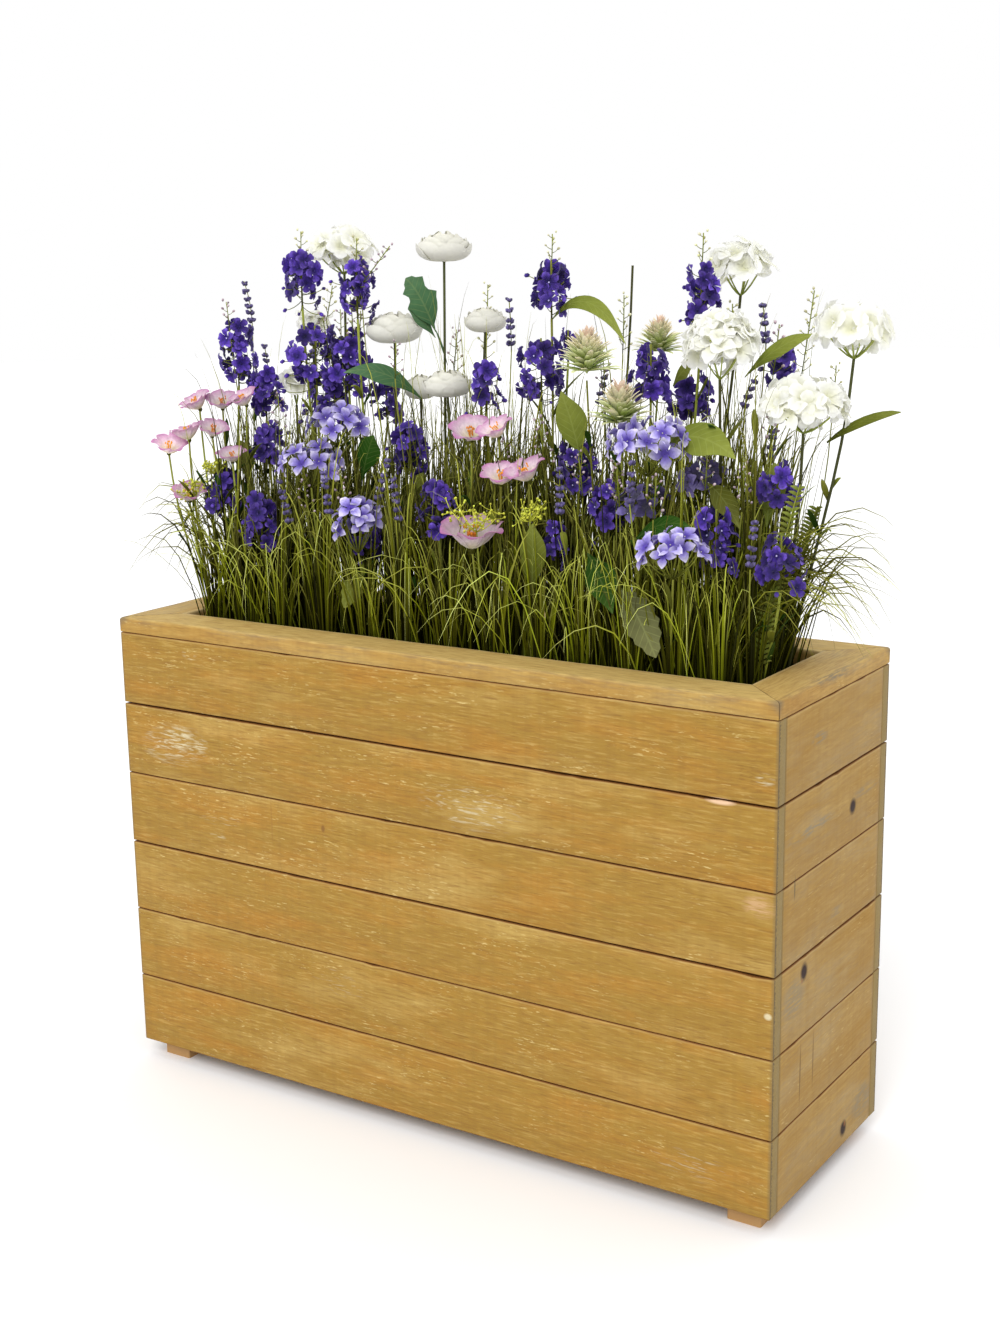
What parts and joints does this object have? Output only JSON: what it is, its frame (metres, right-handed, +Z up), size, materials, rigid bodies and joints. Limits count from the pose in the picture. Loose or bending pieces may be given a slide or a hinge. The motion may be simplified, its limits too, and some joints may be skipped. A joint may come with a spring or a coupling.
{
  "type": "wooden flower planter",
  "caption": "Long box planter of stacked softwood boards on short corner feet, with a mitred cap round its rim, filled with soil and a dense mixed bed of flowers, leaves and grass.",
  "frame": {"origin": "on the floor under the middle of the box, with the four feet standing on z = 0", "axes": "+X along the box to the right, +Y from the front of the box to its back, +Z up"},
  "size_m": [1.144, 0.45, 1.1764],
  "materials": {
    "stained_boards": "matte",
    "pale_side_boards": "matte",
    "rim_cap": "matte",
    "raw_posts": "matte",
    "soil": "matte",
    "violet_petals": "matte",
    "cream_petals": "matte",
    "white_petals": "matte",
    "pink_petals": "matte",
    "lilac_petals": "matte",
    "pale_bracts": "matte",
    "lavender_buds": "matte",
    "grass_blades": "matte",
    "stems_and_leaves": "matte"
  },
  "bodies": {
    "root": {"front_board_1": "stained_boards", "front_board_2": "stained_boards", "front_board_3": "stained_boards", "front_board_4": "stained_boards", "front_board_5": "stained_boards", "front_board_6": "stained_boards", "back_board_1": "stained_boards", "back_board_2": "stained_boards", "back_board_3": "stained_boards", "back_board_4": "stained_boards", "back_board_5": "stained_boards", "back_board_6": "stained_boards", "left_board_1": "pale_side_boards", "left_board_2": "pale_side_boards", "left_board_3": "pale_side_boards", "left_board_4": "pale_side_boards", "left_board_5": "pale_side_boards", "left_board_6": "pale_side_boards", "right_board_1": "pale_side_boards", "right_board_2": "pale_side_boards", "right_board_3": "pale_side_boards", "right_board_4": "pale_side_boards", "right_board_5": "pale_side_boards", "right_board_6": "pale_side_boards", "cap_front": "rim_cap", "cap_back": "rim_cap", "cap_left": "rim_cap", "cap_right": "rim_cap", "corner_post_front_left": "raw_posts", "corner_post_front_right": "raw_posts", "corner_post_back_left": "raw_posts", "corner_post_back_right": "raw_posts", "floor_board": "stained_boards", "soil": "soil", "larkspur_left": "violet_petals", "larkspur_back_left": "violet_petals", "larkspur_centre_left": "violet_petals", "larkspur_centre": "violet_petals", "larkspur_front": "violet_petals", "larkspur_back_right": "violet_petals", "larkspur_right": "violet_petals", "ranunculus": "cream_petals", "phlox_left": "white_petals", "phlox_middle": "white_petals", "phlox_right": "white_petals", "pink_left": "pink_petals", "pink_centre": "pink_petals", "lilac_left": "lilac_petals", "lilac_right": "lilac_petals", "spiky_cream": "pale_bracts", "lavender_left": "lavender_buds", "lavender_centre": "lavender_buds", "lavender_right": "lavender_buds", "grass_front_left": "grass_blades", "grass_front_middle": "grass_blades", "grass_front_right": "grass_blades", "grass_back_left": "grass_blades", "grass_back_middle": "grass_blades", "grass_back_right": "grass_blades"}
  },
  "joints": []
}
